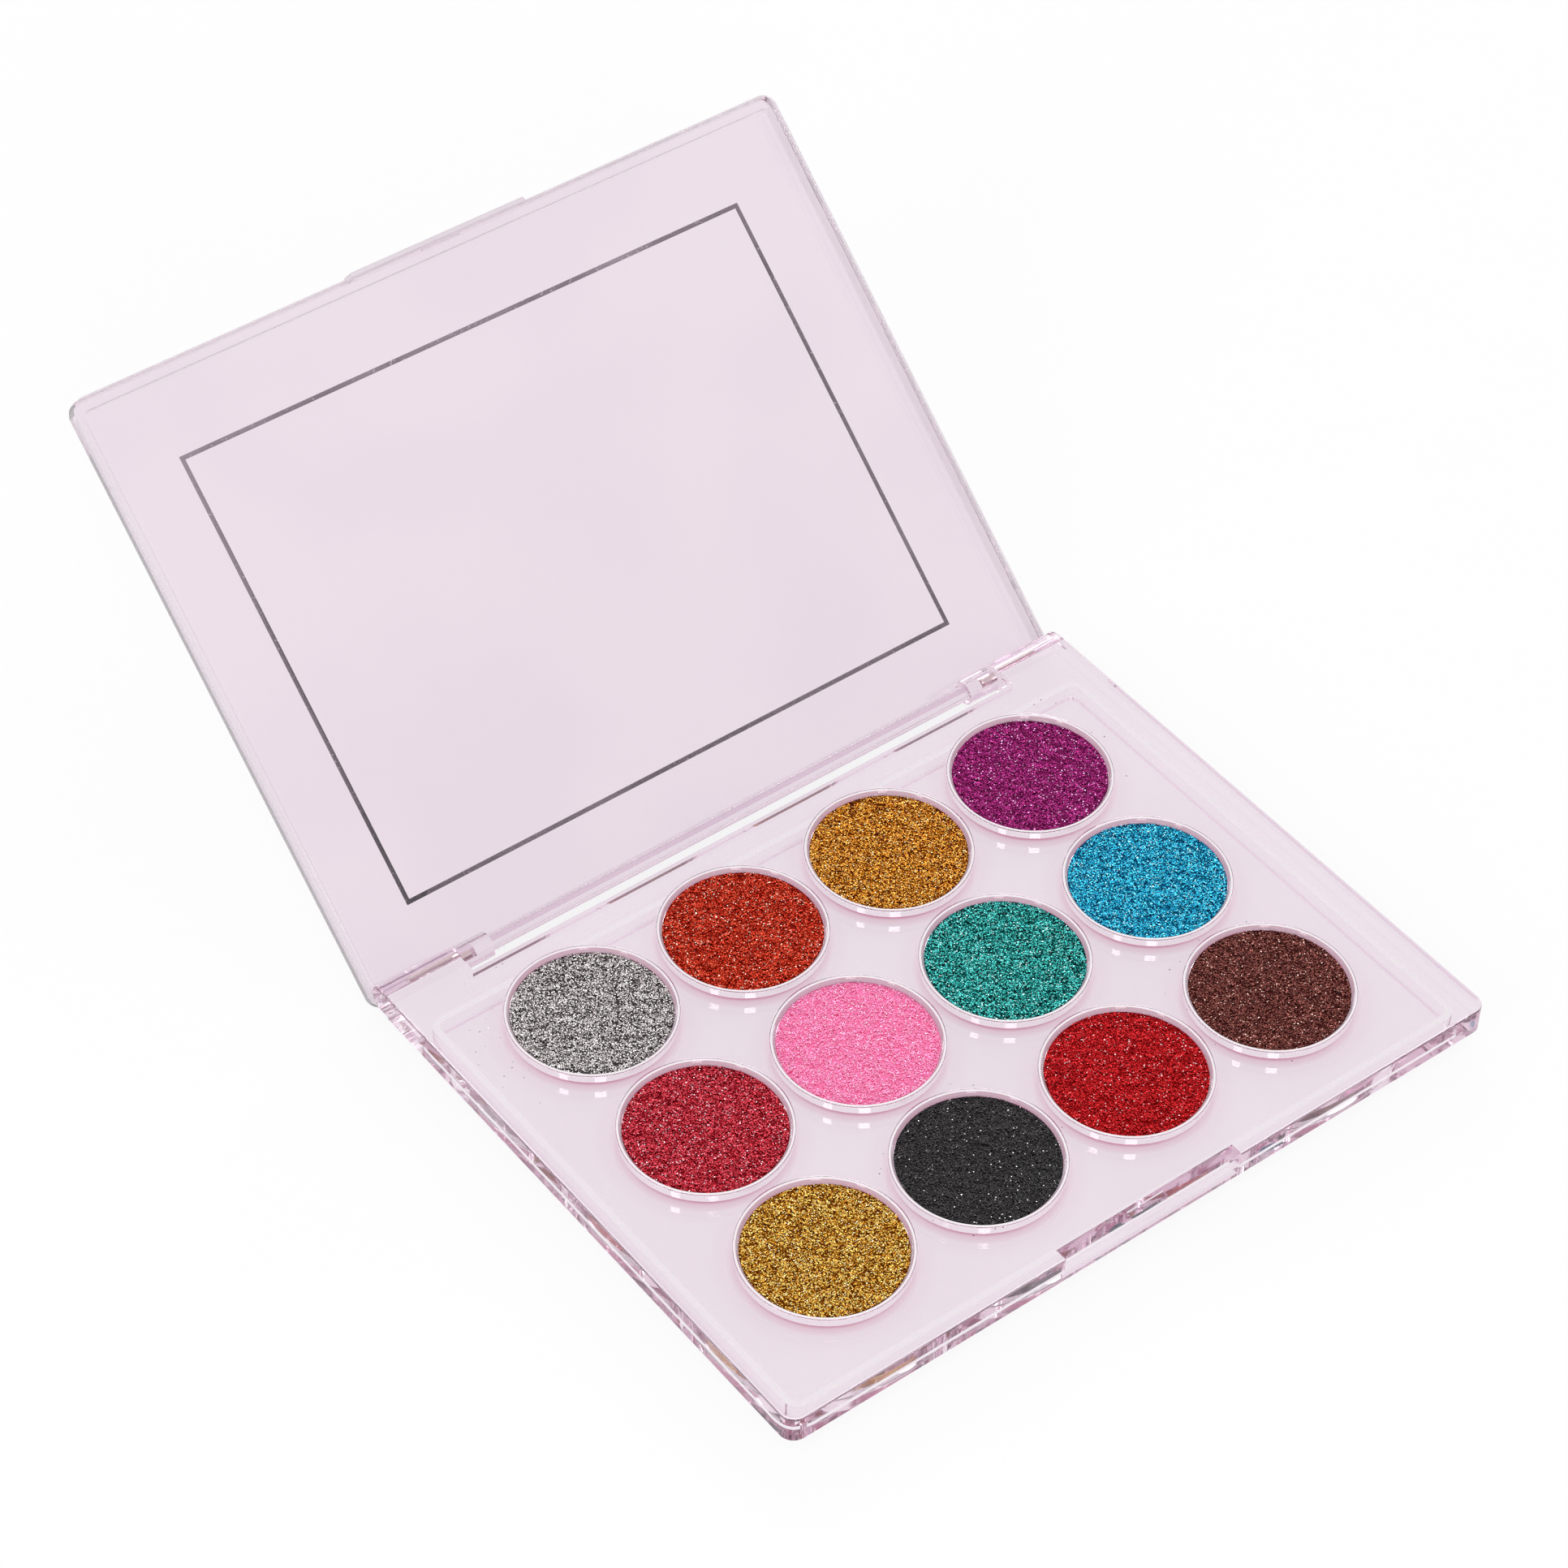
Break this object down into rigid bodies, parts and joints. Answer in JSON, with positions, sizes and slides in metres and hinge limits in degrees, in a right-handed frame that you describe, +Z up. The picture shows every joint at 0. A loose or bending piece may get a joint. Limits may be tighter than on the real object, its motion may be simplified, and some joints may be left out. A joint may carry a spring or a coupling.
{
  "type": "eyeshadow palette",
  "caption": "Clear pink hinged compact: a flat tray with round pans of loose glitter shades under a clear lid on steel hinge pins, with a thumb notch and snap catch.",
  "frame": {"origin": "middle of the tray's footprint, on the surface that it stands on", "axes": "+Z up; +Y from the thumb notch towards the hinge; +X along the hinge, to the right when seen from the front"},
  "size_m": [0.1346, 0.1849, 0.0715],
  "materials": {
    "tray_plastic": "clear pink tinted injection-moulded polystyrene, polished",
    "lid_plastic": "clear pink tinted injection-moulded polystyrene, polished",
    "pan_plastic": "clear moulded polystyrene dish",
    "pin_steel": "plain drawn wire",
    "foil": "hot-stamped silver foil",
    "glitter_gold": "loose polyester glitter flakes, sparkling",
    "glitter_black": "loose polyester glitter flakes, sparkling",
    "glitter_red": "loose polyester glitter flakes, sparkling",
    "glitter_brown": "loose polyester glitter flakes, sparkling",
    "glitter_crimson": "loose polyester glitter flakes, sparkling",
    "glitter_pink": "loose polyester glitter flakes, sparkling",
    "glitter_teal": "loose polyester glitter flakes, sparkling",
    "glitter_blue": "loose polyester glitter flakes, sparkling",
    "glitter_silver": "loose polyester glitter flakes, sparkling",
    "glitter_orange": "loose polyester glitter flakes, sparkling",
    "glitter_amber": "loose polyester glitter flakes, sparkling",
    "glitter_magenta": "loose polyester glitter flakes, sparkling"
  },
  "bodies": {
    "tray": {"tray": "tray_plastic", "hinge_pin_left": "pin_steel", "hinge_pin_right": "pin_steel", "pan_gold": "pan_plastic", "pan_black": "pan_plastic", "pan_red": "pan_plastic", "pan_brown": "pan_plastic", "pan_crimson": "pan_plastic", "pan_pink": "pan_plastic", "pan_teal": "pan_plastic", "pan_blue": "pan_plastic", "pan_silver": "pan_plastic", "pan_orange": "pan_plastic", "pan_amber": "pan_plastic", "pan_magenta": "pan_plastic", "glitter_gold": "glitter_gold", "glitter_black": "glitter_black", "glitter_red": "glitter_red", "glitter_brown": "glitter_brown", "glitter_crimson": "glitter_crimson", "glitter_pink": "glitter_pink", "glitter_teal": "glitter_teal", "glitter_blue": "glitter_blue", "glitter_silver": "glitter_silver", "glitter_orange": "glitter_orange", "glitter_amber": "glitter_amber", "glitter_magenta": "glitter_magenta"},
    "lid": {"lid": "lid_plastic", "foil_frame": "foil"}
  },
  "joints": [
    {"name": "lid_hinge", "type": "hinge", "parent": "tray", "child": "lid", "pos_m": [0, 0.0507, 0.0053], "axis": [1, 0, 0], "range_deg": [0, 140]}
  ]
}
